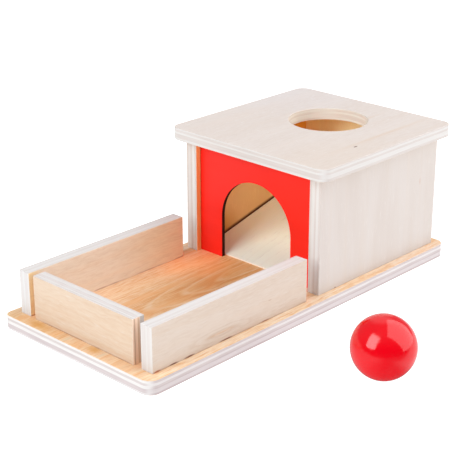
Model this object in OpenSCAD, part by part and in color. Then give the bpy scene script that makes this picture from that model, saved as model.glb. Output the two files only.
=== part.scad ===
// Object permanence box: a ball drops through the lid, rolls down a ramp and out under an arch into a tray.
// X runs along the toy, from the tray's open end to the box. Z is up.
// The origin is the centre of the base board's underside.
// Left and right are as seen from the open end of the tray, looking at the box.

/* [Base board] */
// Length of the base board
base_l = 305; // [260:1:360]
// Width of the base board
base_w = 140.8; // [120:0.1:180]
// Thickness of the base board
base_t = 10; // [6:0.5:14]
// Radius of the base board's corners
base_corner_r = 8; // [3:0.5:18]
// Radius of its left corner at the open end, which is sanded less
base_left_corner_r = 5; // [3:0.5:18]

/* [Walls on the base] */
// Distance from the base board's long edges to the outer faces of the walls
wall_inset = 7.1; // [4:0.1:14]
// Distance from the base board's back edge to the back of the box
back_margin = 8.5; // [3:0.1:14]
// Gap along the base between the right tray wall and the box
tray_box_gap = 12.7; // [4:0.1:25]

/* [Tray] */
// Height of the tray walls
tray_wall_h = 31; // [20:0.5:45]
// Thickness of the tray walls
tray_wall_t = 10; // [6:0.5:12]
// Distance from the base board's open end to the tray's end wall
tray_end_setback = 9.1; // [4:0.1:16]
// How far the tray's long walls start behind the outer face of the end wall
tray_side_setback = 0.2; // [0:0.1:4]
// How much shorter the left long wall is than the right one, at the box
tray_left_short = 1.7; // [0:0.1:4]
// Gap at each corner between the end wall and a long wall, when the end wall stands in the middle
tray_corner_gap = 5.8; // [1:0.1:12]
// How far the end wall stands to the left of the middle
tray_end_shift = 1.1; // [-4:0.1:4]

/* [Box] */
// Length of the box sides
box_side_l = 132; // [110:0.1:160]
// Height of the box sides
box_side_h = 85; // [80:0.5:120]
// Thickness of the box sides
box_side_t = 10; // [7:0.5:12]
// Thickness of the back panel
back_panel_t = 10; // [7:0.5:12]

/* [Front panel] */
// Thickness of the red front panel
panel_t = 3; // [2:0.1:5]
// How far the front panel stands behind the front edges of the box sides
panel_recess = 4.4; // [3:0.1:9]
// Depth of the upright groove that holds the front panel in each side
panel_groove_depth = 3; // [1.5:0.1:4]
// Width of the arch
arch_w = 65.2; // [50:0.1:80]
// Height of the arch's straight sides, up to where its round top starts
arch_side_h = 31.8; // [15:0.1:38]
// How far the arch stands to the right of the panel's middle
arch_shift = 0.6; // [-2:0.1:2]

/* [Lid] */
// Thickness of the lid
lid_t = 9; // [6:0.5:14]
// Radius of the lid's corners
lid_corner_r = 8; // [3:0.5:18]
// How far the lid stands out in front of the box sides
lid_front_overhang = 8; // [2:0.1:16]
// How far the lid stands out behind the box sides
lid_back_overhang = 6.4; // [1:0.1:10]
// How far the lid stands out beside each box side
lid_side_overhang = 8.5; // [2:0.1:14]
// Diameter of the ball hole
hole_d = 58; // [46:0.2:70]
// Distance from the hole's centre to the back edge of the lid
hole_to_back = 55; // [48:0.1:80]

/* [Ramp] */
// Thickness of the ramp board
ramp_t = 3; // [2:0.1:5]
// Height of the ramp's top face at the back panel, above the base board
ramp_rise = 29.3; // [15:0.1:45]
// Height of the ramp's blunt front edge
ramp_toe_h = 1; // [0.4:0.1:1.8]
// Gap between the front panel and the ramp's front edge
ramp_toe_gap = 1.3; // [0.4:0.1:6]
// Gap between the ramp and each box side
ramp_side_gap = 1.2; // [0.2:0.1:3]
// Thickness of the batten under the ramp's high end
batten_t = 10; // [5:0.5:15]

/* [Ball] */
// Diameter of the ball
ball_d = 41.4; // [36:0.1:45]
// Distance from the base board's open end to the ball's centre, where the ball stands beside the box
ball_from_end = 116.3; // [30:0.1:280]
// Distance from the base board's right edge out to the ball's centre
ball_from_side = 84.2; // [40:0.1:150]

/* [Dowels] */
// Diameter of the dowels
dowel_d = 5; // [4:0.1:6]
// Length of a dowel in the edge of a board
dowel_in_edge = 12; // [6:0.5:16]
// Wood left under a blind dowel hole in the face of a board
dowel_skin = 2.5; // [1.5:0.1:4]
// Chamfer on the ends of a dowel
dowel_chamfer = 0.5; // [0.2:0.1:1]
// Distance from the end of a long wall or box side to its outermost dowels
dowel_end_inset = 20; // [14:0.5:30]

/* [Clearances] */
// Gap all round a dowel in its hole
dowel_fit = 0.05; // [0.02:0.01:0.1]
// Spare depth at each end of a dowel
dowel_end_gap = 0.5; // [0.2:0.1:1]
// Gap on each face of the front panel in its grooves
panel_face_fit = 0.3; // [0.1:0.05:0.5]
// Gap between the front panel's side edges and the bottoms of its grooves
panel_edge_fit = 0.3; // [0.1:0.05:0.8]
// Gap between the front panel's top edge and the lid
panel_top_fit = 0.2; // [0.1:0.05:0.8]
// Gap between the ramp's high end and the back panel
ramp_back_fit = 0.2; // [0.1:0.05:0.8]

/* [Hidden] */

// A cut runs this far past the face that it opens
overrun = 1;
round_fn = 96;
dowel_fn = 48;

// Which side of the toy a piece is on, as the sign of Y
left = 1;
right = -1;

// Places along X
end_x = -base_l / 2;
back_x = base_l / 2 - back_margin;
front_x = back_x - box_side_l;
tray_end_x = end_x + tray_end_setback;
tray_start_x = tray_end_x + tray_side_setback;
box_mid_x = (front_x + back_x) / 2;
panel_x = front_x + panel_recess;
back_panel_x = back_x - back_panel_t;

// Places across Y
wall_out_y = base_w / 2 - wall_inset;
tray_wall_y = wall_out_y - tray_wall_t / 2;
tray_in_y = wall_out_y - tray_wall_t;
box_side_y = wall_out_y - box_side_t / 2;
box_in_y = wall_out_y - box_side_t;
tray_end_l = 2 * (tray_in_y - tray_corner_gap);
tray_end_y = left * tray_end_shift;
arch_y = right * arch_shift;

// Places up Z
lid_z = base_t + box_side_h;

// Lid
lid_x = front_x - lid_front_overhang;
lid_l = box_side_l + lid_front_overhang + lid_back_overhang;
lid_w = 2 * (wall_out_y + lid_side_overhang);
hole_x = back_x + lid_back_overhang - hole_to_back;

// Front panel
groove_w = panel_t + 2 * panel_face_fit;
panel_w = 2 * (box_in_y + panel_groove_depth - panel_edge_fit);
panel_h = box_side_h - panel_top_fit;

// Ramp: its top face rises from the toe to the back panel
ramp_toe_x = panel_x + panel_t + ramp_toe_gap;
ramp_end_x = back_panel_x - ramp_back_fit;
ramp_run = ramp_end_x - ramp_toe_x;
ramp_slope = (ramp_rise - ramp_toe_h) / ramp_run;
ramp_upright_t = ramp_t * sqrt(1 + ramp_slope * ramp_slope);
ramp_foot_x = ramp_toe_x + (ramp_upright_t - ramp_toe_h) / ramp_slope;
ramp_w = 2 * (box_in_y - ramp_side_gap);
batten_x = back_panel_x - batten_t;

// Dowels: the outermost ones of a short wall and of the back panel stand a quarter of its length in
short_inset_share = 0.25;
box_dowel_span = box_side_l / 2 - dowel_end_inset;
box_dowels_x = [for (s = [-1:1]) box_mid_x + s * box_dowel_span];
tray_end_dowels_y = [for (s = [-1, 1]) tray_end_y + s * tray_end_l * short_inset_share];
back_dowels_y = [for (s = [-1, 1]) s * 2 * box_in_y * short_inset_share];
back_dowels_z = [for (s = [1, 3]) base_t + s * box_side_h * short_inset_share];

// Length of a long tray wall, and where its dowels stand along it
function tray_wall_l(side) =
    front_x - tray_box_gap - tray_start_x - (side == left ? tray_left_short : 0);
function tray_dowels_x(side) =
    let (half = tray_wall_l(side) / 2) [for (s = [-1:1]) tray_start_x + half + s * (half - dowel_end_inset)];

// Height of the ramp's underside above the base board
function ramp_under(x) = ramp_toe_h + (x - ramp_toe_x) * ramp_slope - ramp_upright_t;

// A flat plate with round corners, standing on Z = 0. left_r is the corner at the low end of X on the left
module round_plate(l, w, t, r, left_r) {
    linear_extrude(height = t)
        difference() {
            square([l, w], center = true);
            for (sx = [-1, 1], sy = [right, left]) {
                corner_r = sx == -1 && sy == left ? left_r : r;
                cut = corner_r + overrun;
                translate([sx * (l / 2 - corner_r), sy * (w / 2 - corner_r)])
                    difference() {
                        translate([sx == -1 ? -cut : 0, sy == right ? -cut : 0]) square(cut);
                        circle(r = corner_r, $fn = round_fn);
                    }
            }
        }
}

// A wall that stands on the base board, from x0 over length l, with its middle at y
module upright(x0, l, y, t, h) {
    translate([x0, y - t / 2, base_t]) cube([l, t, h]);
}

// An outline in X and Z, made into a solid of width w about Y = 0
module across(points, w) {
    translate([0, w / 2, 0]) rotate([90, 0, 0]) linear_extrude(height = w) polygon(points);
}

// The hole for one dowel: down into a face, and up into an edge
module dowel_hole(face_t) {
    face_depth = face_t - dowel_skin;
    edge_depth = dowel_in_edge + dowel_end_gap;
    translate([0, 0, -face_depth])
        cylinder(h = face_depth + edge_depth, d = dowel_d + 2 * dowel_fit, $fn = dowel_fn);
}

// One dowel with chamfered ends, seated in that hole
module dowel(face_t) {
    in_face = face_t - dowel_skin - dowel_end_gap;
    body_l = in_face + dowel_in_edge - 2 * dowel_chamfer;
    tip_d = dowel_d - 2 * dowel_chamfer;
    translate([0, 0, -in_face]) {
        cylinder(h = dowel_chamfer, d1 = tip_d, d2 = dowel_d, $fn = dowel_fn);
        translate([0, 0, dowel_chamfer]) cylinder(h = body_l, d = dowel_d, $fn = dowel_fn);
        translate([0, 0, dowel_chamfer + body_l])
            cylinder(h = dowel_chamfer, d1 = dowel_d, d2 = tip_d, $fn = dowel_fn);
    }
}

// Where the dowels stand: each places its children with -Z into a face and +Z into an edge
module at_tray_side(side) {
    for (x = tray_dowels_x(side)) translate([x, side * tray_wall_y, base_t]) children();
}

module at_tray_end() {
    for (y = tray_end_dowels_y) translate([tray_end_x + tray_wall_t / 2, y, base_t]) children();
}

module at_box_side(side) {
    for (x = box_dowels_x) translate([x, side * box_side_y, base_t]) children();
}

module at_back_foot() {
    for (y = back_dowels_y) translate([back_x - back_panel_t / 2, y, base_t]) children();
}

module at_back_side(side) {
    for (z = back_dowels_z)
        translate([back_x - back_panel_t / 2, side * box_in_y, z]) rotate([side * 90, 0, 0]) children();
}

module at_lid_side(side) {
    for (x = box_dowels_x) translate([x, side * box_side_y, lid_z]) rotate([180, 0, 0]) children();
}

module at_lid_back() {
    for (y = back_dowels_y)
        translate([back_x - back_panel_t / 2, y, lid_z]) rotate([180, 0, 0]) children();
}

module base_board() {
    color([0.93, 0.76, 0.57])
        difference() {
            round_plate(base_l, base_w, base_t, base_corner_r, base_left_corner_r);
            for (side = [left, right]) {
                at_tray_side(side) dowel_hole(base_t);
                at_box_side(side) dowel_hole(base_t);
            }
            at_tray_end() dowel_hole(base_t);
            at_back_foot() dowel_hole(base_t);
        }
}

module tray_long_wall(side) {
    color([0.91, 0.84, 0.77])
        difference() {
            upright(tray_start_x, tray_wall_l(side), side * tray_wall_y, tray_wall_t, tray_wall_h);
            at_tray_side(side) dowel_hole(base_t);
        }
}

module tray_end_wall() {
    color([0.94, 0.84, 0.72])
        difference() {
            translate([tray_end_x, tray_end_y - tray_end_l / 2, base_t])
                cube([tray_wall_t, tray_end_l, tray_wall_h]);
            at_tray_end() dowel_hole(base_t);
        }
}

// The upright groove for the front panel, open at the top under the lid
module panel_groove(side) {
    depth = panel_groove_depth + overrun;
    groove_y = side * (box_in_y - overrun + depth / 2);
    translate([panel_x - panel_face_fit, groove_y - depth / 2, base_t - overrun])
        cube([groove_w, depth, box_side_h + 2 * overrun]);
}

module box_side(side) {
    color([0.92, 0.87, 0.83])
        difference() {
            upright(front_x, box_side_l, side * box_side_y, box_side_t, box_side_h);
            panel_groove(side);
            at_box_side(side) dowel_hole(base_t);
            at_lid_side(side) dowel_hole(lid_t);
            at_back_side(side) dowel_hole(box_side_t);
        }
}

module box_back_panel() {
    color([0.92, 0.85, 0.78])
        difference() {
            translate([back_panel_x, -box_in_y, base_t]) cube([back_panel_t, 2 * box_in_y, box_side_h]);
            at_back_foot() dowel_hole(base_t);
            at_lid_back() dowel_hole(lid_t);
            for (side = [left, right]) at_back_side(side) dowel_hole(box_side_t);
        }
}

// Outline of the arch in Y and Z, from below the panel's foot
module arch_cut() {
    translate([panel_x - overrun, arch_y, base_t])
        rotate([90, 0, 90])
            linear_extrude(height = panel_t + 2 * overrun) {
                translate([-arch_w / 2, -overrun]) square([arch_w, arch_side_h + overrun]);
                translate([0, arch_side_h]) circle(d = arch_w, $fn = round_fn);
            }
}

module front_panel() {
    color([0.96, 0.16, 0.12])
        difference() {
            translate([panel_x, -panel_w / 2, base_t]) cube([panel_t, panel_w, panel_h]);
            arch_cut();
        }
}

module lid() {
    color([0.92, 0.86, 0.81])
        difference() {
            translate([lid_x + lid_l / 2, 0, lid_z])
                round_plate(lid_l, lid_w, lid_t, lid_corner_r, lid_corner_r);
            translate([hole_x, 0, lid_z - overrun])
                cylinder(h = lid_t + 2 * overrun, d = hole_d, $fn = round_fn);
            for (side = [left, right]) at_lid_side(side) dowel_hole(lid_t);
            at_lid_back() dowel_hole(lid_t);
        }
}

// A thin board, cut flat under its front end so that it lies on the base board there
module ramp_board() {
    color([0.90, 0.84, 0.76])
        translate([0, 0, base_t]) across([
            [ramp_toe_x, 0],
            [ramp_foot_x, 0],
            [ramp_end_x, ramp_under(ramp_end_x)],
            [ramp_end_x, ramp_rise],
            [ramp_toe_x, ramp_toe_h]
        ], ramp_w);
}

// A strip against the back panel, its top cut to the ramp's slope
module ramp_batten() {
    color([0.85, 0.72, 0.55])
        translate([0, 0, base_t]) across([
            [batten_x, 0],
            [back_panel_x, 0],
            [back_panel_x, ramp_under(back_panel_x)],
            [batten_x, ramp_under(batten_x)]
        ], ramp_w);
}

module ball() {
    color([0.80, 0.06, 0.06])
        translate([end_x + ball_from_end, -base_w / 2 - ball_from_side, ball_d / 2])
            sphere(d = ball_d, $fn = round_fn);
}

module dowel_colour() {
    color([0.80, 0.62, 0.42]) children();
}

base_board();
tray_long_wall(left);  // tray_wall_left
tray_long_wall(right);  // tray_wall_right
tray_end_wall();
box_side(left);  // box_side_left
box_side(right);  // box_side_right
box_back_panel();
front_panel();
lid();
ramp_board();
ramp_batten();
ball();
dowel_colour() at_tray_side(left) dowel(base_t);  // tray_left_dowels
dowel_colour() at_tray_side(right) dowel(base_t);  // tray_right_dowels
dowel_colour() at_tray_end() dowel(base_t);  // tray_end_dowels
dowel_colour() at_box_side(left) dowel(base_t);  // box_left_dowels
dowel_colour() at_box_side(right) dowel(base_t);  // box_right_dowels
dowel_colour() at_back_foot() dowel(base_t);  // back_foot_dowels
dowel_colour() at_back_side(left) dowel(box_side_t);  // back_left_dowels
dowel_colour() at_back_side(right) dowel(box_side_t);  // back_right_dowels
dowel_colour() at_lid_side(left) dowel(lid_t);  // lid_left_dowels
dowel_colour() at_lid_side(right) dowel(lid_t);  // lid_right_dowels
dowel_colour() at_lid_back() dowel(lid_t);  // lid_back_dowels
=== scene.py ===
# Looks for the object permanence box: sanded plywood, a red painted front panel and a red lacquered ball
import math

import bmesh
import bpy
from mathutils import Matrix, Vector


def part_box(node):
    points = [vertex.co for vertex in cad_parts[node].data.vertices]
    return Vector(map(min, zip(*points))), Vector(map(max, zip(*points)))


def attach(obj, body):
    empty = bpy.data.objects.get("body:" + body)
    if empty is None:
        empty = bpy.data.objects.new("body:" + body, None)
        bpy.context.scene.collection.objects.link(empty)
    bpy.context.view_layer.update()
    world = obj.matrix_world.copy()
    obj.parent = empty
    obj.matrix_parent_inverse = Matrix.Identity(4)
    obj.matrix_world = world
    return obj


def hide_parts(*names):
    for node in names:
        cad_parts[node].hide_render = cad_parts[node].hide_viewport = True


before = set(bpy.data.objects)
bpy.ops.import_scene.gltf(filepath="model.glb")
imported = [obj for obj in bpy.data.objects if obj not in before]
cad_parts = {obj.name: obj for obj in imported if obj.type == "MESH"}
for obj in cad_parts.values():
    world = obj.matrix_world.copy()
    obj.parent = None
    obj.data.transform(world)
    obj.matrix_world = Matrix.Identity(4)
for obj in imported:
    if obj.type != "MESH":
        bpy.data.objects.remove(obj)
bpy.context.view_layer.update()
mm = 0.001  # the frame is in metres
axisNumber = {"X": 0, "Y": 1, "Z": 2}


lightLevel = 1.38  # the studio light on a plain face, so a surface is this much darker than it looks


def srgb(red, green, blue):
    # a colour as it looks in the photograph, in the linear values that shaders use
    shares = [level / 255 for level in (red, green, blue)]
    linear = [s / 12.92 if s < 0.04045 else ((s + 0.055) / 1.055) ** 2.4 for s in shares]
    return tuple(level / lightLevel for level in linear)


class Wire:
    # one output socket, so that shader maths reads as sums
    def __init__(self, finish, socket):
        self.finish = finish
        self.socket = socket

    def __add__(self, other):
        return self.finish.combine("ADD", self, other)

    def __radd__(self, other):
        return self.finish.combine("ADD", other, self)

    def __sub__(self, other):
        return self.finish.combine("SUBTRACT", self, other)

    def __rsub__(self, other):
        return self.finish.combine("SUBTRACT", other, self)

    def __mul__(self, other):
        return self.finish.combine("MULTIPLY", self, other)

    def __rmul__(self, other):
        return self.finish.combine("MULTIPLY", other, self)

    def __truediv__(self, other):
        return self.finish.combine("DIVIDE", self, other)

    def __rtruediv__(self, other):
        return self.finish.combine("DIVIDE", other, self)

    def __abs__(self):
        return self.finish.node("Math", {"operation": "ABSOLUTE"}, {0: self})


class Finish:
    # the shader nodes of a material or of the world, while they are being laid
    def __init__(self, holder):
        self.holder = holder
        holder.use_nodes = True
        self.tree = holder.node_tree
        self.tree.nodes.clear()

    def node(self, kind, settings=None, values=None, output=0):
        made = self.tree.nodes.new("ShaderNode" + kind)
        for name, setting in (settings or {}).items():
            if name == "stops":
                self.setStops(made.color_ramp, setting)
            elif name == "steps":
                made.color_ramp.interpolation = setting
            else:
                setattr(made, name, setting)
        for key, value in (values or {}).items():
            self.feed(made.inputs[key], value)
        return Wire(self, made.outputs[output]) if made.outputs else None

    def setStops(self, ramp, stops):
        while len(ramp.elements) < len(stops):
            ramp.elements.new(1.0)
        for element, (position, level) in zip(ramp.elements, stops):
            element.position = position
            element.color = (level, level, level, 1.0)

    def feed(self, socket, value):
        if isinstance(value, Wire):
            self.tree.links.new(value.socket, socket)
        elif socket.type == "RGBA":
            socket.default_value = (*value, 1.0) if isinstance(value, tuple) else (value, value, value, 1.0)
        elif socket.type == "VECTOR" and not isinstance(value, tuple):
            socket.default_value = (value, value, value)
        else:
            socket.default_value = value

    def combine(self, operation, first, second):
        kinds = {side.socket.type for side in (first, second) if isinstance(side, Wire)}
        if "RGBA" in kinds:
            mixing = {"data_type": "RGBA", "blend_type": operation}
            return self.node("Mix", mixing, {0: 1.0, 6: first, 7: second}, 2)
        if "VECTOR" in kinds:
            return self.node("VectorMath", {"operation": operation}, {0: first, 1: second})
        return self.node("Math", {"operation": operation}, {0: first, 1: second})

    def blend(self, share, first, second):
        # from one colour to another
        return self.node("Mix", {"data_type": "RGBA"}, {0: share, 6: first, 7: second}, 2)

    def between(self, share, first, second):
        # from one number to another
        return self.node("Mix", {"data_type": "FLOAT"}, {0: share, 2: first, 3: second})

    def fade(self, value, start, end):
        # 0 below start and 1 above end, smooth in between
        reach = {"Value": value, "From Min": start, "From Max": end}
        return self.node("MapRange", {"interpolation_type": "SMOOTHSTEP"}, reach)

    def hump(self, value, rise, fall):
        # up from 0 to 1 over the rise, and down again over the fall
        return self.fade(value, *rise) * (1 - self.fade(value, *fall))

    def past(self, value, limit, soft):
        # 0 below a limit and 1 above it, with a soft step
        return self.fade(value, limit - soft, limit + soft)

    def split(self, vector):
        parts = self.node("SeparateXYZ", {}, {0: vector}).socket.node.outputs
        return [Wire(self, part) for part in parts]

    def join(self, x, y, z):
        return self.node("CombineXYZ", {}, {0: x, 1: y, 2: z})

    def clouds(self, spot, detail=2.0, roughness=0.5):
        # soft noise about 0.5
        values = {"Vector": spot, "Scale": 1.0, "Detail": detail, "Roughness": roughness}
        return self.node("TexNoise", {}, values)

    def length(self, vector):
        return self.node("VectorMath", {"operation": "LENGTH"}, {0: vector}, "Value")

    def reach(self, vector, way):
        # how far a place lies that way
        return self.node("VectorMath", {"operation": "DOT_PRODUCT"}, {0: vector, 1: way}, "Value")

    def here(self):
        # the place on the piece, in mm
        return self.node("TexCoord", output="Object") / mm

    def facing(self):
        # the way that the surface faces
        return self.split(self.node("TexCoord", output="Normal"))

    def bump(self, height, distance):
        # fine relief of so many mm
        return self.node("Bump", {}, {"Strength": 1.0, "Distance": distance * mm, "Height": height})

    def surface(self, values):
        shader = self.node("BsdfPrincipled", {}, values)
        self.node("OutputMaterial", {}, {"Surface": shader})
        return self.holder


def newFinish(name):
    return Finish(bpy.data.materials.new(name))


def place(name, data):
    # a new object in the scene
    made = bpy.data.objects.new(name, data)
    bpy.context.scene.collection.objects.link(made)
    return made


def placeShape(name, shape, material):
    # a finished bmesh as an object
    mesh = bpy.data.meshes.new(name)
    shape.to_mesh(mesh)
    shape.free()
    mesh.materials.append(material)
    return place(name, mesh)


# camera, solved from the edges and corners of the photograph in its 460 x 460 pixel frame
cameraLooks = {
    "position": (-0.6061, -0.56622, 0.37552),
    "right": (0.68791, -0.7258, -0.0006),
    "down": (-0.26936, -0.25453, -0.92879),
    "focalPixels": 1280.08,
    "pictureSide": 460,
    "sensorWidth": 36.0,
    "nearest": 0.01,
    "farthest": 50.0,
}


def setCamera(looks):
    data = bpy.data.cameras.new("photographersCamera")
    data.sensor_width = looks["sensorWidth"]
    data.lens = looks["focalPixels"] * looks["sensorWidth"] / looks["pictureSide"]
    data.clip_start = looks["nearest"]
    data.clip_end = looks["farthest"]
    camera = place(data.name, data)
    right = Vector(looks["right"]).normalized()
    up = -Vector(looks["down"]).normalized()
    back = right.cross(up)
    turn = Matrix((right, up, back)).transposed().to_4x4()
    camera.matrix_world = Matrix.Translation(looks["position"]) @ turn
    bpy.context.scene.camera = camera


# soft studio light: each softbox has a place, a point that it faces, its width and height, and its glow
roomLooks = {
    "softboxes": {
        "leftSoftbox": {
            "at": (-1.45, 0.15, 1.02), "facing": (-0.04, -0.12, 0.03), "size": (1.08, 1.42), "glow": 4.75,
        },
        "rightSoftbox": {
            "at": (0.843, -0.786, 0.81), "facing": (0.253, -0.096, -0.12), "size": (2.2, 2.3), "glow": 1.72,
        },
    },
    "wallsTone": (1.0, 1.0, 1.0),
    "wallsGlow": 0.45,
    "brightSide": (0.49, 0.46, 0.74),  # the way towards the bright part of the walls, which glosses show
    "wallsInGloss": {"camera": 0.0, "above": 0.27, "bright": 0.85},
    "aboveFrom": (-0.5, 0.6),  # where one part of the walls gives way to the next, along that way
    "brightFrom": (0.88, 1.0),
    "bounces": 12,
}


def softbox(name, looks):
    data = bpy.data.lights.new(name, "AREA")
    data.shape = "RECTANGLE"
    data.size, data.size_y = looks["size"]
    data.energy = looks["glow"] * math.pi * data.size * data.size_y
    lamp = place(name, data)
    lamp.location = looks["at"]
    aim = Vector(looks["facing"]) - Vector(looks["at"])
    lamp.rotation_mode = "QUATERNION"
    lamp.rotation_quaternion = aim.to_track_quat("-Z", "Y")
    lamp.visible_camera = False


def setRoom(looks):
    for name, softboxLooks in looks["softboxes"].items():
        softbox(name, softboxLooks)
    finish = Finish(bpy.data.worlds.new("studioWalls"))
    lift = finish.reach(finish.node("TexCoord", output="Generated"), looks["brightSide"])
    seen = looks["wallsInGloss"]
    glow = finish.between(finish.fade(lift, *looks["aboveFrom"]), seen["camera"], seen["above"])
    glow = finish.between(finish.fade(lift, *looks["brightFrom"]), glow, seen["bright"])
    strength = finish.between(finish.node("LightPath", output="Is Glossy Ray"), looks["wallsGlow"], glow)
    strength = finish.between(finish.node("LightPath", output="Is Camera Ray"), strength, 1.0)
    walls = finish.node("Background", {}, {"Color": looks["wallsTone"], "Strength": strength})
    finish.node("OutputWorld", {}, {"Surface": walls})
    scene = bpy.context.scene
    scene.world = finish.holder
    scene.view_settings.view_transform = "Standard"
    scene.cycles.diffuse_bounces = looks["bounces"]
    scene.cycles.max_bounces = looks["bounces"]


# a white sweep that glows evenly, so that no shadow greys it; a gloss sees it as in a real studio, bright
# at the right and dark towards the camera, with places in metres from the object's middle
floorLooks = {
    "name": "paleFloor",
    "radius": 6.0,
    "corners": 96,
    "gap": 0.2,  # mm under the object
    "tone": (0.25, 0.25, 0.25),
    "roughness": 0.9,
    "specular": 0.2,
    "glowTone": (1.0, 1.0, 1.0),
    "glow": 1.09,
    "rightward": (0.688, -0.726, 0.0),  # the picture's right, along the floor
    "cameraward": (-0.7, -0.71, 0.0),
    "inGloss": {"left": 0.75, "middle": 0.2, "right": 1.0, "camera": 0.01},
    "middleFrom": (0.04, 0.09),
    "rightFrom": (0.1, 0.125),
    "rightUntil": (0.16, 0.21),
    "cameraFrom": (0.2, 0.33),
}


def floorSheen(finish, looks):
    # the floor as a gloss sees it
    spot = finish.node("TexCoord", output="Object")
    across = finish.reach(spot, looks["rightward"])
    toward = finish.reach(spot, looks["cameraward"])
    seen = looks["inGloss"]
    glow = finish.between(finish.fade(across, *looks["middleFrom"]), seen["left"], seen["middle"])
    glow = finish.between(finish.fade(toward, *looks["cameraFrom"]), glow, seen["camera"])
    beside = finish.fade(across, *looks["rightFrom"]) * (1 - finish.fade(toward, *looks["rightUntil"]))
    glow = finish.between(beside, glow, seen["right"])
    return finish.node("Emission", {}, {"Color": glow, "Strength": 1.0})


def floorFinish(looks):
    finish = newFinish(looks["name"])
    pale = finish.node("BsdfPrincipled", {}, {
        "Base Color": looks["tone"],
        "Roughness": looks["roughness"],
        "Specular IOR Level": looks["specular"],
        "Emission Color": looks["glowTone"],
        "Emission Strength": looks["glow"],
    })
    inGloss = finish.node("LightPath", output="Is Glossy Ray")
    either = finish.node("MixShader", {}, {0: inGloss, 1: pale, 2: floorSheen(finish, looks)})
    finish.node("OutputMaterial", {}, {"Surface": either})
    return finish.holder


def layFloor(looks):
    shape = bmesh.new()
    corners = looks["corners"]
    turns = [2 * math.pi * number / corners for number in range(corners)]
    rim = [(math.cos(turn) * looks["radius"], math.sin(turn) * looks["radius"], 0) for turn in turns]
    shape.faces.new([shape.verts.new(point) for point in rim])
    floor = placeShape(looks["name"], shape, floorFinish(looks))
    floor.location.z = -looks["gap"] * mm


setCamera(cameraLooks)
setRoom(roomLooks)
layFloor(floorLooks)
print("camera, soft light and floor set")


# boards

sandingLooks = {
    "weld": 0.002,  # mm; nearer corners are one
    "flat": math.radians(1),
    "leastTurn": math.radians(35),  # flatter edges aren't sanded
    "shortest": 0.5,  # mm; shorter edges belong to round holes
    "footHeight": 0.01,  # mm
    "rounds": 4,
}


def cleanShape(node):
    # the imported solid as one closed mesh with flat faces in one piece
    shape = bmesh.new()
    shape.from_mesh(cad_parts[node].data)
    bmesh.ops.remove_doubles(shape, verts=shape.verts, dist=sandingLooks["weld"] * mm)
    flat = sandingLooks["flat"]
    bmesh.ops.dissolve_limit(shape, angle_limit=flat, verts=shape.verts, edges=shape.edges)
    return shape


def sandEdges(shape, node, looks):
    # weights for the bevel; a foot can have its own radius
    weights = shape.edges.layers.float.new("bevel_weight_edge")
    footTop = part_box(node)[0].z + sandingLooks["footHeight"] * mm
    footEase = looks.get("footEase", looks["ease"])
    longest = max(looks["ease"], footEase)
    for edge in shape.edges:
        if len(edge.link_faces) != 2 or edge.calc_face_angle() < sandingLooks["leastTurn"]:
            continue
        middle = (edge.verts[0].co + edge.verts[1].co) / 2
        hole = edge.calc_length() < sandingLooks["shortest"] * mm
        groove = any(left < middle.x / mm < right for left, right in looks.get("grooves", []))
        if hole or groove:  # these stay sharp
            edge.smooth = False
            continue
        foot = all(corner.co.z < footTop for corner in edge.verts)
        edge[weights] = (footEase if foot else looks["ease"]) / longest
    return longest


def board(node, looks, material):
    shape = cleanShape(node)
    longest = sandEdges(shape, node, looks)
    for face in shape.faces:
        face.smooth = True
    piece = placeShape(looks["name"], shape, material)
    sanding = piece.modifiers.new("sanding", "BEVEL")
    sanding.limit_method = "WEIGHT"
    sanding.width = longest * mm
    sanding.segments = sandingLooks["rounds"]
    sanding.use_clamp_overlap = False
    shading = piece.modifiers.new("shading", "WEIGHTED_NORMAL")
    shading.keep_sharp = True
    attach(piece, "box")
    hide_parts(node)


# noise in the wood: its size in mm along the grain, across it and into the depth, a shift of its own, and
# the levels between which it fades from 0 to 1
woodNoise = {
    "bend": {"size": (80, 30, 30), "shift": 3.1, "detail": 1.0},
    "ripple": {"size": (11, 8, 8), "shift": 27.3, "detail": 1.0},
    "broad": {"size": (90, 15, 15), "shift": 1.7, "fade": (0.3, 0.7)},
    "bands": {"size": (420, 2.6, 2.6), "shift": 5.3, "detail": 2.5, "roughness": 0.6, "fade": (0.3, 0.7)},
    "fibre": {"size": (28, 0.6, 0.6), "shift": 9.2, "roughness": 0.6},
    "curl": {"size": (9, 1.5, 1.5), "shift": 25.1, "roughness": 0.6},
    "pores": {"size": (4.5, 0.3, 0.3), "shift": 4.4, "detail": 1.0, "fade": (0.68, 0.76)},
    "rings": {"size": (130, 15, 15), "shift": 7.7},
    "warm": {"size": (300, 6, 6), "shift": 15.5, "fade": (0.42, 0.68)},
    "flecks": {"shift": 12.9, "fade": (0.6, 0.74)},  # each board gives their size
    "dirt": {"size": (16, 16, 16), "shift": 61.0, "detail": 1.0, "fade": (0.3, 0.6)},
    "ragged": {"size": (2.5, 0.5, 0.5), "shift": 21.0, "detail": 1.0},
    "wobble": {"size": (30, 30, 400), "shift": 31.0},
    "longStreaks": {"size": (26, 0.6, 0.35), "shift": 41.0, "roughness": 0.6},
    "crossStreaks": {"size": (0.6, 26, 0.35), "shift": 43.0, "roughness": 0.6},
    "patches": {"size": (24, 24, 1.1), "shift": 47.0, "detail": 1.5, "fade": (0.35, 0.65)},
    "glueBreaks": {"size": (14, 14, 3), "shift": 53.0, "fade": (0.4, 0.62)},
}
endless = 1e6  # mm, for a mark that goes through the whole depth
untinted = (1.0, 1.0, 1.0)


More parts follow.
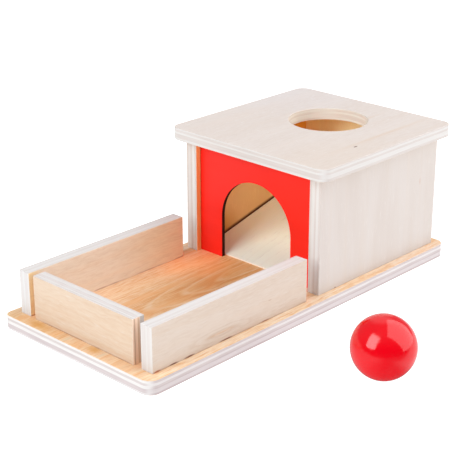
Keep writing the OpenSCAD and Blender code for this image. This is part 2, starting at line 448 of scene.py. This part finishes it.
class Plywood:
    # a block of crossed veneers: what shows depends on the depth and on the way that the surface faces
    def __init__(self, node, looks):
        self.looks = looks
        self.finish = newFinish(looks["name"] + "Wood")
        low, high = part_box(node)
        self.upAxis, self.grainAxis = axisNumber[looks["thickness"]], axisNumber[looks["grain"]]
        self.crossAxis = 3 - self.upAxis - self.grainAxis
        self.thick = looks.get("sheet", (high - low)[self.upAxis] / mm)
        self.places = self.finish.split(self.finish.here())
        self.facing = self.finish.facing()
        self.along, self.cross = self.places[self.grainAxis], self.places[self.crossAxis]
        up = self.places[self.upAxis]
        if "slope" in looks:
            up = up - self.along * looks["slope"]
        top = looks.get("topAt", (high if looks["outward"] > 0 else low)[self.upAxis] / mm)
        self.depth = (top - up) * looks["outward"]
        self.here = self.finish.join(self.along, self.cross, self.depth)
        self.outside = self.finish.fade(self.facing[self.upAxis] * looks["outward"], *looks["facingOut"])

    def noise(self, name, at=None, size=None):
        looks = {"detail": 2.0, "roughness": 0.5, "size": size, **woodNoise[name]}
        spot = (self.here if at is None else at) / looks["size"] + (self.looks["seed"] + looks["shift"])
        clouds = self.finish.clouds(spot, looks["detail"], looks["roughness"])
        return self.finish.fade(clouds, *looks["fade"]) if "fade" in looks else clouds

    def ovals(self, centre, size, at):
        # 0 in the middle of a mark on the veneer and 1 at its rim
        return self.finish.length((at - (*centre, 0.0)) / (*size, endless))

    def growthRings(self, bent):
        # the dark late wood and the pale seam of each ring, which grow weaker away from the figure
        finish, looks = self.finish, self.looks
        ovals = self.ovals(looks["figureAt"], looks["figureSize"], bent)
        rings = ovals + (self.noise("rings", bent) - 0.5) * looks["figureWander"] + looks["ringStart"]
        ring = finish.node("Math", {"operation": "FRACT"}, {0: rings})
        late = finish.hump(ring, looks["lateRise"], looks["lateFall"])
        seam = finish.hump(ring, looks["seamRise"], looks["seamFall"])
        near = finish.hump(ovals, looks["figureCore"], (0.0, looks["figureReach"]))
        return late * near, seam * near

    def veneer(self):
        # soft clouds and bands along the grain, fine fibre and curl, growth rings, pores and flecks
        finish, looks, weights = self.finish, self.looks, self.looks["reliefWeights"]
        bend = (self.noise("bend") - 0.5) * looks["bend"]
        ripple = (self.noise("ripple") - 0.5) * looks["ripple"]
        bent = finish.join(self.along, self.cross + bend, self.depth)
        wavy = finish.join(self.along, self.cross + bend + ripple, self.depth)
        fibre, curl, pores = self.noise("fibre", wavy), self.noise("curl", wavy), self.noise("pores", bent)
        late, seam = self.growthRings(bent)
        dark = self.noise("broad", bent) * looks["broad"] + self.noise("bands", bent) * looks["bands"]
        dark = dark + late * looks["rings"] + (fibre - 0.5) * looks["fibre"]
        dark = dark + (curl - 0.5) * looks["curl"] + pores * looks["pores"]
        colour = finish.blend(dark, looks["pale"], looks["dark"])
        colour = finish.blend(seam * looks["seams"], colour, looks["fleck"])
        colour = finish.blend(self.noise("warm", bent) * looks["warmth"], colour, looks["warm"])
        flecks = self.noise("flecks", bent, looks["fleckSize"])
        colour = finish.blend(flecks * looks["flecks"], colour, looks["fleck"])
        # painted light: the faces inside the box are tinted paler and warmer than the outer ones
        if "paintedInsideLight" in looks:
            colour = finish.blend(self.outside, colour * looks["paintedInsideLight"], colour)
        relief = fibre + curl * weights["curl"] - pores * weights["pores"]
        return self.withMarks(colour), relief, (fibre - 0.5) * looks["roughnessVaries"]

    def withMarks(self, colour):
        # tone patches, many of them painted light and shade, painted shade at the foot of a wall, a painted
        # shadow line along the ramp, and small spots
        finish, looks = self.finish, self.looks
        # many of these patches are painted light and shade, as noted on each board
        for tintPatch in looks.get("tonesAndPaintedLight", []):
            rim = self.ovals(tintPatch["at"], tintPatch["size"], self.here)
            side = 1 - self.outside if tintPatch.get("inside") else self.outside
            share = (1 - finish.fade(rim, looks["tintPatchCore"], 1.0)) * side
            colour = colour * finish.blend(share, untinted, tintPatch["tint"])
        # painted shade: darker just above the foot of a wall, where it stands on the base, broken up by
        # noise
        if "foot" in looks:
            foot = looks["foot"]
            dirt = (1 - finish.fade(self.places[2], *foot["fade"])) * self.noise("dirt")
            colour = colour * finish.blend(dirt, untinted, foot["tint"])
        # painted shadow: darkest just above the ramp's edge on the inner face, fading upwards
        if "rampGapShadow" in looks:
            mark = looks["rampGapShadow"]
            above = self.places[2] - self.places[0] * mark["slope"] - mark["height"]
            behind = finish.fade(self.places[0], *mark["from"])
            rampShadow = (1 - finish.fade(above, *mark["fade"])) * behind * (1 - self.outside)
            colour = finish.blend(rampShadow, colour, mark["colour"])
        for spot in looks.get("spots", []):
            rim = self.ovals(spot["at"], spot["size"], self.here)
            rim = rim + (self.noise("ragged") - 0.5) * looks["spotRagged"]
            even = spot.get("core", looks["spotCore"])
            share = (1 - finish.fade(rim, even, 1.0)) * spot["strength"] * self.outside
            colour = finish.blend(share, colour, spot["colour"])
        return colour

    def glueLines(self, layer, marks):
        half = self.looks["glueHalf"]
        stops = [(0.0, 0.0)]
        for mark in marks:
            stops += [(mark - half, 0.0), (mark, 1.0), (mark + half, 0.0)]
        line = self.finish.node("ValToRGB", {"stops": stops}, {0: layer})
        return self.finish.node("RGBToBW", {}, {0: line})

    def cutEdge(self):
        # the cut plies: end grain is whiter than long grain, and the glue lines show in places
        finish, looks, weights = self.finish, self.looks, self.looks["reliefWeights"]
        layer = (self.depth + (self.noise("wobble") - 0.5) * looks["plyWobble"]) / self.thick
        marks = [0.0] + [mark / self.thick for mark in looks["plies"]]
        stops = [(mark, float(number % 2)) for number, mark in enumerate(marks)]
        crossed = finish.node("ValToRGB", {"steps": "CONSTANT", "stops": stops}, {0: layer})
        endOn = finish.between(crossed, abs(self.facing[self.grainAxis]), abs(self.facing[self.crossAxis]))
        streak = finish.between(crossed, self.noise("longStreaks"), self.noise("crossStreaks"))
        patch = self.noise("patches")
        edgeLong = finish.blend(patch * looks["patchLong"], looks["edgeLong"], looks["edgeLongDark"])
        edgeEnd = finish.blend(patch * looks["patchEnd"], looks["edgeEnd"], looks["edgeEndDark"])
        colour = finish.blend(finish.fade(endOn, *looks["facingEnd"]), edgeLong, edgeEnd)
        streaks = (streak - looks["streakLevel"]) * looks["edgeStreaks"]
        colour = finish.blend(streaks, colour, looks["edgeDark"])
        glue = self.glueLines(layer, marks[1:])
        colour = finish.blend(glue * self.noise("glueBreaks") * looks["glue"], colour, looks["edgeDark"])
        return self.withTints(colour), streak * weights["streaks"] - glue * weights["glue"]

    def withTints(self, colour):
        # tints of the cut edges that face one way, down to a depth, past one, or under a height: some are
        # darker plies, and most are painted light and shade on one side of a board
        finish, looks = self.finish, self.looks
        for tinted in looks.get("edgeTonesAndLight", []):
            share = finish.fade(abs(self.facing[axisNumber[tinted["axis"]]]), *looks["facingTint"])
            if "deep" in tinted:
                share = share * (1 - finish.past(self.depth, tinted["deep"], looks["depthSoft"]))
            if "past" in tinted:
                share = share * finish.past(self.depth, tinted["past"], looks["depthSoft"])
            if "under" in tinted:
                share = share * (1 - finish.past(self.places[2], tinted["under"], looks["heightSoft"]))
            colour = finish.blend(share, colour, colour * tinted["tint"])
        if "bore" in looks:
            bore = looks["bore"]
            fromMiddle = finish.length(self.here * (1.0, 1.0, 0.0) - (*bore["at"], 0.0))
            colour = finish.blend(1 - finish.fade(fromMiddle, *bore["rim"]), colour, colour * bore["tint"])
        return colour

    def material(self):
        finish, looks = self.finish, self.looks
        veneer, veneerRelief, roughnessVaries = self.veneer()
        edge, edgeRelief = self.cutEdge()
        face = finish.fade(abs(self.facing[self.upAxis]), *looks["facingFlat"])
        roughness = finish.between(face, looks["edgeRoughness"], looks["roughness"])
        return finish.surface({
            "Base Color": finish.blend(face, edge, veneer),
            "Roughness": roughness + roughnessVaries,
            "Specular IOR Level": looks["specular"],
            "Normal": finish.bump(finish.between(face, edgeRelief, veneerRelief), looks["relief"]),
        })


# values that the plywood boards share; a board's own dictionary overrides them
# tone patches tint the veneer in soft ovals, and many of them are painted light and shade; spots paint it
# in small ragged ones, and both have a middle and half sizes in mm, along the grain first
plywoodLooks = {
    "slot": "plywood",
    "ease": 0.4,  # mm, sanded radius of the edges
    "grain": "X",
    "thickness": "Z",
    "outward": 1,  # which side of the thickness is the outer one, 1 or -1
    "seed": 0.0,
    "plies": (1.8, 3.7, 5.5, 8.3),  # mm, depths of the glue lines
    "pale": srgb(240, 230, 224),
    "dark": srgb(226, 210, 199),
    "warm": srgb(241, 217, 197),
    "fleck": srgb(246, 240, 236),
    "bend": 5.0,  # mm that the grain wanders, over long stretches
    "ripple": 4.0,  # and over short ones
    "broad": 0.3,  # how much each pattern darkens the wood
    "bands": 0.08,
    "rings": 0.12,
    "fibre": 0.4,
    "curl": 0.6,
    "pores": 0.1,
    "seams": 0.1,  # how much of the fleck colour these two bring
    "flecks": 0.35,
    "warmth": 0.2,  # and how much of the warm one
    "fleckSize": (9.0, 1.3, 1.3),
    "figureAt": (0.0, 0.0),  # middle of the growth rings
    "figureSize": (60.0, 6.0),  # mm from ring to ring
    "figureWander": 2.0,  # how far they wander, in rings
    "figureCore": (-1.0, 0.0),  # the rings over which the figure comes in
    "figureReach": 9.0,  # and the one at which it ends
    "ringStart": 0.86,
    "lateRise": (0.2, 0.34),  # shares of a growth ring
    "lateFall": (0.36, 0.95),
    "seamRise": (0.0, 0.08),
    "seamFall": (0.12, 0.26),
    "tintPatchCore": 0.2,  # the share of a tone patch, or of a spot, that is even
    "spotCore": 0.2,
    "spotRagged": 0.4,
    "plyWobble": 0.5,  # mm
    "glueHalf": 0.018,  # share of the board's thickness
    "patchLong": 0.8,
    "patchEnd": 0.6,
    "streakLevel": 0.4,
    "depthSoft": 0.5,  # mm over which a tint ends
    "heightSoft": 12.0,
    "facingOut": (-0.3, 0.3),  # how squarely a surface faces that way, from not at all to fully
    "facingFlat": (0.45, 0.9),
    "facingEnd": (0.3, 0.8),
    "facingTint": (0.5, 0.95),
    "reliefWeights": {"curl": 0.5, "pores": 0.5, "streaks": 1.3, "glue": 0.6},
    "edgeLong": srgb(234, 226, 222),
    "edgeLongDark": srgb(228, 219, 215),
    "edgeEnd": srgb(242, 239, 237),
    "edgeEndDark": srgb(237, 233, 230),
    "edgeDark": srgb(190, 160, 142),
    "edgeStreaks": 0.12,
    "glue": 0.2,
    "roughness": 0.55,
    "edgeRoughness": 0.75,
    "roughnessVaries": 0.15,
    "specular": 0.35,
    "relief": 0.02,  # mm
}

baseLooks = {
    "name": "baseBoardSanded",
    "ease": 0.5,
    "footEase": 0.4,
    "plies": (1.8, 3.5, 5.6, 8.5),
    "seed": 11.0,
    "pale": (0.87, 0.66, 0.46),
    "dark": (0.745, 0.4, 0.18),
    "warm": (0.86, 0.49, 0.24),
    "fleck": (0.9, 0.79, 0.68),
    "broad": 0.15,
    "bands": 0.5,
    "rings": 0.9,
    "seams": 1.0,
    "fibre": 2.0,
    "curl": 2.0,
    "ripple": 3.5,
    "flecks": 0.8,
    "fleckSize": (24.0, 1.0, 1.0),
    "warmth": 0.6,
    "figureAt": (30.0, 5.0),
    "figureSize": (34.0, 5.5),
    "figureWander": 0.4,
    "figureCore": (0.6, 1.9),
    "figureReach": 6.5,
    "roughness": 0.45,
    "edgeLong": srgb(230, 221, 219),
    "edgeLongDark": srgb(219, 209, 209),
    "edgeEnd": srgb(249, 247, 246),
    "edgeEndDark": srgb(240, 237, 235),
    # painted shade: the near edge darker, and the lower halves of the near and end edges darker still,
    # close to the floor
    "edgeTonesAndLight": [
        {"axis": "Y", "tint": (0.98, 0.95, 0.96)},
        {"axis": "Y", "tint": (0.89, 0.85, 0.86), "past": 5.0},
        {"axis": "X", "tint": (0.96, 0.94, 0.96), "past": 5.4},
    ],
    "tonesAndPaintedLight": [
        # painted shade: the tray floor darker and warmer up to the box
        {"at": (10.0, -4.0), "size": (80.0, 62.0), "tint": (0.78, 0.73, 0.6)},
        # painted reflected light: a red-orange glow from the red panel on the floor by its foot
        {"at": (0.0, 42.0), "size": (50.0, 44.0), "tint": (1.18, 0.88, 0.66)},
        # painted shade: the tray floor darker and warmer towards the end wall
        {"at": (-52.0, 0.0), "size": (70.0, 60.0), "tint": (0.77, 0.7, 0.57)},
        {"at": (-40.0, -68.0), "size": (190.0, 7.0), "tint": (0.94, 1.02, 1.11)},
        {"at": (120.0, -68.0), "size": (70.0, 8.0), "tint": (0.95, 1.0, 1.13)},
        {"at": (-149.0, 45.0), "size": (12.0, 60.0), "tint": (0.94, 0.88, 0.75)},
        {"at": (7.0, 64.0), "size": (12.0, 7.0), "tint": (0.9, 1.12, 1.5)},
    ],
    "spots": [
        {
            "at": (-147.5, 40.0), "size": (6.0, 14.0),
            "strength": 0.9, "colour": srgb(250, 186, 106), "core": 0.0,
        },
        {
            "at": (-146.0, -13.0), "size": (6.0, 10.0),
            "strength": 0.9, "colour": srgb(252, 190, 110), "core": 0.0,
        },
        {"at": (-148.0, 11.0), "size": (6.0, 2.0), "strength": 0.7, "colour": srgb(255, 236, 210)},
        {"at": (-148.2, -22.0), "size": (6.0, 1.8), "strength": 0.7, "colour": srgb(255, 236, 210)},
    ],
}

lidLooks = {
    "name": "lidSanded",
    "ease": 0.5,
    "plies": (1.0, 2.6, 4.0, 7.0),
    "seed": 23.0,
    "bore": {"at": (95.4, 0.0), "rim": (31.0, 32.0), "tint": (1.24, 1.22, 1.12)},
    # painted light: the underside, inside the box, paler
    "paintedInsideLight": (1.5, 1.5, 1.35),
    "pale": srgb(246, 235, 229),
    "dark": srgb(232, 215, 204),
    "warm": srgb(247, 222, 202),
    "fleck": srgb(252, 246, 243),
    # painted light: the edges that face along X paler and cooler
    "edgeTonesAndLight": [{"axis": "X", "tint": (1.03, 1.06, 1.07)}],
    "broad": 0.2,
    "bands": 0.05,
    "warmth": 0.1,
    "rings": 0.05,
    "curl": 1.0,
    "flecks": 0.45,
    "fleckSize": (6.0, 3.0, 3.0),
    "tonesAndPaintedLight": [
        {"at": (20.0, -60.0), "size": (90.0, 50.0), "tint": (0.99, 0.97, 0.94)},
        {"at": (140.0, 60.0), "size": (90.0, 60.0), "tint": (1.0, 1.02, 1.06)},
    ],
    "spots": [
        {
            "at": (98.0, -51.3), "size": (75.0, 3.2),
            "strength": 0.4, "colour": srgb(238, 210, 184), "core": 0.0,
        },
        {
            "at": (111.0, -19.5), "size": (32.0, 3.0),
            "strength": 0.35, "colour": srgb(240, 212, 188), "core": 0.0,
        },
        {
            "at": (58.1, -54.7), "size": (2.4, 0.9),
            "strength": 1.0, "colour": srgb(120, 76, 60), "core": 0.5,
        },
        {"at": (60.4, -56.3), "size": (4.0, 0.6), "strength": 0.7, "colour": srgb(250, 242, 234)},
    ],
}

trayLeftLooks = {
    "name": "trayWallLeftSanded",
    "thickness": "Y",
    "plies": (1.8, 3.7, 5.5, 8.4),
    "seed": 31.0,
    "footEase": 0.25,
    # painted light: the inner face paler
    "paintedInsideLight": (1.4, 1.35, 1.2),
    # painted light: the end edges cooler and the top edge paler
    "edgeTonesAndLight": [{"axis": "X", "tint": (1.0, 1.03, 1.05)}, {"axis": "Z", "tint": (1.05, 1.06, 1.07)}],
    "edgeLong": srgb(238, 232, 229),
    "edgeLongDark": srgb(233, 226, 223),
    # painted shade along the foot of the wall
    "foot": {"fade": (10.4, 11.3), "tint": (0.66, 0.52, 0.5)},
    "curl": 2.0,
    "fibre": 1.0,
    "tonesAndPaintedLight": [
        # painted warm bounce light on the inner face towards the box
        {"at": (-5.0, 30.0), "size": (75.0, 60.0), "tint": (1.0, 0.94, 0.81), "inside": True},
        # painted warm shade in the corner gap by the end wall
        {"at": (-144.0, 25.0), "size": (15.0, 80.0), "tint": (1.0, 0.88, 0.62), "inside": True},
    ],
}

trayRightLooks = {
    "name": "trayWallRightSanded",
    "thickness": "Y",
    "outward": -1,
    "plies": (2.0, 4.0, 5.4, 8.5),
    "seed": 42.0,
    "footEase": 0.25,
    "pale": srgb(239, 223, 209),
    "dark": srgb(226, 204, 186),
    "warm": srgb(241, 216, 192),
    # painted light: the top edge paler
    "edgeTonesAndLight": [{"axis": "Z", "tint": (1.05, 1.05, 1.06)}],
    "edgeLong": srgb(238, 232, 229),
    "edgeLongDark": srgb(233, 226, 223),
    # painted shade along the foot of the wall
    "foot": {"fade": (10.4, 11.3), "tint": (0.86, 0.76, 0.68)},
    "curl": 1.5,
    "fibre": 0.8,
    "figureAt": (-83.0, 16.0),
    "figureSize": (17.0, 2.6),
    "figureWander": 0.6,
    "figureReach": 2.6,
    "rings": 0.9,
    "spots": [
        {
            "at": (-84.0, 16.8), "size": (19.0, 1.3),
            "strength": 0.6, "colour": srgb(228, 182, 142), "core": 0.0,
        },
        {
            "at": (-139.5, 10.5), "size": (4.0, 1.1),
            "strength": 0.9, "colour": srgb(190, 110, 74), "core": 0.3,
        },
        {"at": (-125.7, 10.5), "size": (5.5, 1.0), "strength": 0.9, "colour": srgb(120, 60, 32)},
        {"at": (-112.1, 10.4), "size": (6.5, 1.2), "strength": 0.9, "colour": srgb(120, 60, 32)},
        {"at": (-79.0, 10.4), "size": (8.0, 1.1), "strength": 0.8, "colour": srgb(130, 68, 38)},
        {"at": (-42.7, 10.4), "size": (5.0, 0.9), "strength": 0.7, "colour": srgb(170, 100, 66)},
        {"at": (-37.9, 23.7), "size": (2.4, 0.6), "strength": 0.5, "colour": srgb(196, 150, 124)},
    ],
}

trayEndLooks = {
    "name": "trayEndWallSanded",
    "thickness": "X",
    "grain": "Y",
    "outward": -1,
    "plies": (1.6, 3.4, 5.8, 8.4),
    "seed": 55.0,
    "footEase": 0.25,
    "pale": srgb(241, 219, 196),
    "dark": srgb(230, 196, 164),
    "warm": srgb(244, 208, 170),
    "edgeTonesAndLight": [
        # painted light: the top edge paler
        {"axis": "Z", "tint": (1.05, 1.05, 1.06)},
        # painted warm bounce light on the outer 6 mm of the near end face, in the gap beside the near wall
        {"axis": "Y", "tint": (1.65, 1.34, 1.1), "deep": 6.2},
        {"axis": "Y", "tint": (0.66, 0.6, 0.56), "past": 1.2, "deep": 2.4},
        {"axis": "Y", "tint": (0.7, 0.64, 0.58), "past": 4.4, "deep": 5.6},
    ],
    "edgeLong": srgb(238, 232, 229),
    "edgeLongDark": srgb(233, 226, 223),
    "edgeDark": srgb(150, 112, 90),
    "glue": 0.5,
    # painted shade along the foot of the wall
    "foot": {"fade": (10.4, 11.3), "tint": (0.74, 0.58, 0.48)},
    "bend": 9.0,
    "rings": 0.35,
    "curl": 1.4,
    "fibre": 0.6,
    "figureSize": (50.0, 5.0),
}

sideLooks = {
    "thickness": "Y",
    "grain": "Z",
    "plies": (1.8, 4.2, 5.5, 8.1),
    "footEase": 0.25,
    "grooves": [(15.9, 19.9)],  # mm along X, where the red panel's groove stays sharp
    "pale": srgb(234, 225, 220),
    "dark": srgb(226, 213, 205),
    "warm": srgb(236, 220, 207),
    "rings": 0.05,
    "broad": 0.45,
    "curl": 0.3,
    # painted light: the front edges paler and cooler
    "edgeTonesAndLight": [{"axis": "X", "tint": (1.06, 1.09, 1.1)}],
    # painted warm light: the inner faces, inside the box, paler and orange
    "paintedInsideLight": (1.64, 1.24, 0.6),
}

sideLeftLooks = {
    "name": "boxSideLeftSanded",
    "seed": 63.0,
    "edgeTonesAndLight": [
        # painted light: the front edges paler and cooler
        {"axis": "X", "tint": (1.06, 1.09, 1.1)},
        {"axis": "X", "tint": (0.95, 0.91, 0.88), "deep": 6.0},
        # painted light: the front edge paler below 26 mm, in the shade between the far tray wall and this
        # side
        {"axis": "X", "tint": (1.24, 1.2, 1.16), "under": 26.0},
    ],
    "tonesAndPaintedLight": [
        # painted warm shade on the inner face, where it shows through the hole in the lid
        {"at": (88.0, 112.0), "size": (40.0, 60.0), "tint": (0.95, 0.65, 0.16), "inside": True},
        # painted warm shade on the inner face, behind the arch
        {"at": (18.0, 34.0), "size": (26.0, 28.0), "tint": (0.74, 0.54, 0.3), "inside": True},
        {"at": (45.0, 12.0), "size": (120.0, 6.0), "tint": (1.03, 0.8, 0.6), "inside": True},
    ],
    # painted shadow: a dark line in the gap along the ramp, on the inner face behind the red panel
    "rampGapShadow": {"from": (19.4, 19.9), "fade": (-0.6, 2.4), "colour": srgb(96, 42, 10)},
}

sideRightLooks = {
    "name": "boxSideRightSanded",
    "outward": -1,
    # painted light: the inner face paler
    "paintedInsideLight": (1.62, 1.55, 1.3),
    "seed": 74.0,
    "spots": [
        {"at": (64.0, 124.7), "size": (3.4, 0.8), "strength": 0.6, "colour": srgb(224, 178, 160)},
        {
            "at": (10.6, 29.7), "size": (0.6, 0.9),
            "strength": 0.9, "colour": srgb(150, 104, 80), "core": 0.4,
        },
    ],
}

backLooks = {
    "name": "boxBackPanelSanded",
    "thickness": "X",
    "grain": "Z",
    "plies": (1.8, 4.2, 5.5, 8.1),
    "seed": 85.0,
    "footEase": 0.25,
    # painted light: the inner face paler and yellower
    "paintedInsideLight": (1.55, 1.53, 0.96),
}

rampLooks = {
    "name": "rampBoardSanded",
    "slot": "ramp_plywood",
    "plies": (0.9, 2.1),
    "sheet": 3.0,  # mm thick; its box is taller, as it slopes
    "toe": 1.0,  # mm, the height of the ramp's front edge
    "seed": 96.0,
    "ease": 0.2,
    # painted light: the ramp's veneer is far paler than the other boards', standing in for light inside the
    # box
    "pale": (0.94, 0.99, 0.91),
    "dark": (0.9, 0.95, 0.84),
    "warm": (0.95, 0.95, 0.83),
    # painted highlight: the toe edge paler and warmer
    "edgeTonesAndLight": [{"axis": "X", "tint": (1.5, 1.42, 1.24)}],
    "pores": 0.0,
    "curl": 0.3,
    "tonesAndPaintedLight": [
        # painted shade: darker over the front half, near the toe
        {"at": (22.0, 0.0), "size": (46.0, 90.0), "tint": (0.8, 0.81, 0.81)},
        # painted light: paler on the far half of the ramp
        {"at": (70.0, 30.0), "size": (60.0, 60.0), "tint": (1.0, 1.05, 0.97)},
    ],
}

low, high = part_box("ramp_board")
rampSlope = (high.z - low.z - rampLooks["toe"] * mm) / (high.x - low.x)
rampLooks["slope"] = rampSlope
rampLooks["topAt"] = low.z / mm + rampLooks["toe"] - low.x / mm * rampSlope
sideLeftLooks["rampGapShadow"].update(slope=rampSlope, height=rampLooks["topAt"])

boards = {
    "base_board": baseLooks,
    "lid": lidLooks,
    "tray_wall_left": trayLeftLooks,
    "tray_wall_right": trayRightLooks,
    "tray_end_wall": trayEndLooks,
    "box_side_left": {**sideLooks, **sideLeftLooks},
    "box_side_right": {**sideLooks, **sideRightLooks},
    "box_back_panel": backLooks,
    "ramp_board": rampLooks,
}
for node, ownLooks in boards.items():
    looks = {**plywoodLooks, **ownLooks}
    board(node, looks, Plywood(node, looks).material())
print("plywood boards sanded and veneered:", len(boards))


# red front panel

panelLooks = {
    "name": "frontPanelPainted",
    "slot": "red_panel_paint",
    "ease": 0.25,
    "paint": (0.89, 0.0165, 0.008),
    "paintDark": (0.83, 0.0128, 0.0053),
    "burnt": srgb(40, 12, 2),
    "burntBrown": srgb(80, 32, 10),
    "rolledSize": 1.1,  # mm, the roller's texture in the paint
    "grainSize": (3.0, 40.0, 0.8),
    "patchSize": (20.0, 60.0, 9.0),
    "patchFade": (0.35, 0.65),
    "patches": 0.5,
    "grain": 0.5,
    "charSize": (1.5, 9.0, 9.0),
    "charFade": (0.4, 0.7),
    "facingFlat": (0.5, 0.85),
    "roughness": 0.45,
    "cutRoughness": 0.85,
    "roughnessVaries": 0.1,
    "specular": 0.28,
    "relief": 0.02,
    "reliefWeights": {"rolled": 0.6, "grain": 0.8},
}


def panelPaint(looks):
    # rolled paint on both faces, and burnt edges
    finish = newFinish("redPanelPaint")
    here = finish.here()
    rolled = finish.clouds(here / looks["rolledSize"], 3.0)
    grain = finish.clouds(here / looks["grainSize"])
    patch = finish.fade(finish.clouds(here / looks["patchSize"]), *looks["patchFade"])
    dark = patch * looks["patches"] + (grain - 0.5) * looks["grain"]
    paint = finish.blend(dark, looks["paint"], looks["paintDark"])
    char = finish.fade(finish.clouds(here / looks["charSize"]), *looks["charFade"])
    cut = finish.blend(char, looks["burnt"], looks["burntBrown"])
    face = finish.fade(abs(finish.facing()[0]), *looks["facingFlat"])
    roughness = finish.between(face, looks["cutRoughness"], looks["roughness"])
    weights = looks["reliefWeights"]
    return finish.surface({
        "Base Color": finish.blend(face, cut, paint),
        "Roughness": roughness + (rolled - 0.5) * looks["roughnessVaries"],
        "Specular IOR Level": looks["specular"],
        "Normal": finish.bump(rolled * weights["rolled"] + grain * weights["grain"], looks["relief"]),
    })


board("front_panel", panelLooks, panelPaint(panelLooks))
print("front panel painted")


# ball

ballLooks = {
    "name": "ballLacquered",
    "slot": "red_ball_lacquer",
    "squares": 40,
    "weld": 0.01,  # mm
    "lacquer": (0.7, 0.0002, 0.007),
    "lacquerDark": (0.66, 0.0002, 0.006),
    "peelSize": 1.6,  # mm, the faint waves of the lacquer
    "grainSize": (1.2, 1.2, 26.0),
    "smudgeSize": 9.0,
    "smudgeFade": (0.5, 0.7),
    "roughness": 0.12,
    "smudgeRoughness": 0.06,
    "specular": 0.6,
    "relief": 0.006,
    "grainRelief": 0.4,
}


def ballLacquer(looks):
    finish = newFinish("redBallLacquer")
    here = finish.here()
    peel = finish.clouds(here / looks["peelSize"])
    grain = finish.clouds(here / looks["grainSize"])
    smudge = finish.fade(finish.clouds(here / looks["smudgeSize"], 3.0), *looks["smudgeFade"])
    return finish.surface({
        "Base Color": finish.blend(grain, looks["lacquer"], looks["lacquerDark"]),
        "Roughness": looks["roughness"] + smudge * looks["smudgeRoughness"],
        "Specular IOR Level": looks["specular"],
        "Normal": finish.bump(peel + grain * looks["grainRelief"], looks["relief"]),
    })


def bowedSquare(shape, centre, radius, steps, axis, side):
    # one side of a cube, bowed out onto the sphere
    bows = [math.tan(math.pi / 4 * (2 * step / steps - 1)) for step in range(steps + 1)]
    rows = []
    for across in bows:
        row = []
        for along in bows:
            point = Vector((0, 0, 0))
            point[axis] = side
            point[(axis + 1) % 3] = across * side
            point[(axis + 2) % 3] = along
            row.append(shape.verts.new(centre + point.normalized() * radius))
        rows.append(row)
    for i in range(steps):
        for j in range(steps):
            corners = (rows[i][j], rows[i + 1][j], rows[i + 1][j + 1], rows[i][j + 1])
            shape.faces.new(corners).smooth = True


def turnedBall(looks):
    # six bowed squares share the sphere out more evenly than rings would
    low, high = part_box("ball")
    centre, radius = (low + high) / 2, min(high - low) / 2
    shape = bmesh.new()
    for axis in range(3):
        for side in (-1, 1):
            bowedSquare(shape, centre, radius, looks["squares"], axis, side)
    bmesh.ops.remove_doubles(shape, verts=shape.verts, dist=looks["weld"] * mm)
    bmesh.ops.recalc_face_normals(shape, faces=shape.faces)
    piece = placeShape(looks["name"], shape, ballLacquer(looks))
    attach(piece, "ball")
    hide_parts("ball")


turnedBall(ballLooks)
print("ball turned and lacquered")


# hidden wood: dowels and the batten under the ramp

dowelLooks = {
    "pale": srgb(226, 190, 150),
    "dark": srgb(196, 150, 108),
    "fleck": srgb(160, 108, 70),
    "fineSize": (0.5, 0.5, 9.0),
    "fineFade": (0.3, 0.7),
    "fleckSize": (0.3, 0.3, 1.6),
    "fleckShift": 5.0,
    "fleckFade": (0.6, 0.7),
    "flecks": 0.5,
    "roughness": 0.6,
    "roughnessVaries": 0.2,
    "relief": 0.03,
}
battenLooks = {
    "pale": srgb(236, 208, 166),
    "dark": srgb(214, 168, 116),
    "ringTurns": 2.4,  # growth rings, in radians for each mm across the batten
    "bendSize": (6.0, 60.0, 6.0),
    "bend": 12.0,
    "ringFade": (-0.2, 1.0),
    "rings": 0.7,
    "fineSize": (0.4, 22.0, 0.4),
    "fine": 0.6,
    "roughness": 0.65,
    "roughnessVaries": 0.15,
    "relief": 0.05,
}


def dowelBeech(looks):
    finish = newFinish("dowelBeech")
    here = finish.here()
    fine = finish.clouds(here / looks["fineSize"], 2.0, 0.6)
    flecks = finish.clouds(here / looks["fleckSize"] + looks["fleckShift"], 1.0)
    flecks = finish.fade(flecks, *looks["fleckFade"]) * looks["flecks"]
    colour = finish.blend(finish.fade(fine, *looks["fineFade"]), looks["pale"], looks["dark"])
    return finish.surface({
        "Base Color": finish.blend(flecks, colour, looks["fleck"]),
        "Roughness": looks["roughness"] + fine * looks["roughnessVaries"],
        "Normal": finish.bump(fine, looks["relief"]),
    })


def battenPine(looks):
    finish = newFinish("battenPine")
    here = finish.here()
    bend = finish.clouds(here / looks["bendSize"], 1.0) * looks["bend"]
    turns = finish.split(here)[0] * looks["ringTurns"] + bend
    rings = finish.fade(finish.node("Math", {"operation": "SINE"}, {0: turns}), *looks["ringFade"])
    fine = finish.clouds(here / looks["fineSize"], 2.0, 0.6)
    dark = rings * looks["rings"] + (fine - 0.5) * looks["fine"]
    return finish.surface({
        "Base Color": finish.blend(dark, looks["pale"], looks["dark"]),
        "Roughness": looks["roughness"] + fine * looks["roughnessVaries"],
        "Normal": finish.bump(fine, looks["relief"]),
    })


beech = dowelBeech(dowelLooks)
dowelNodes = [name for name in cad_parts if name.endswith("_dowels")]
for name in dowelNodes:
    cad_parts[name].material_slots[0].material = beech
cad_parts["ramp_batten"].material_slots[0].material = battenPine(battenLooks)
print("dowels and batten finished:", len(dowelNodes) + 1, "nodes")
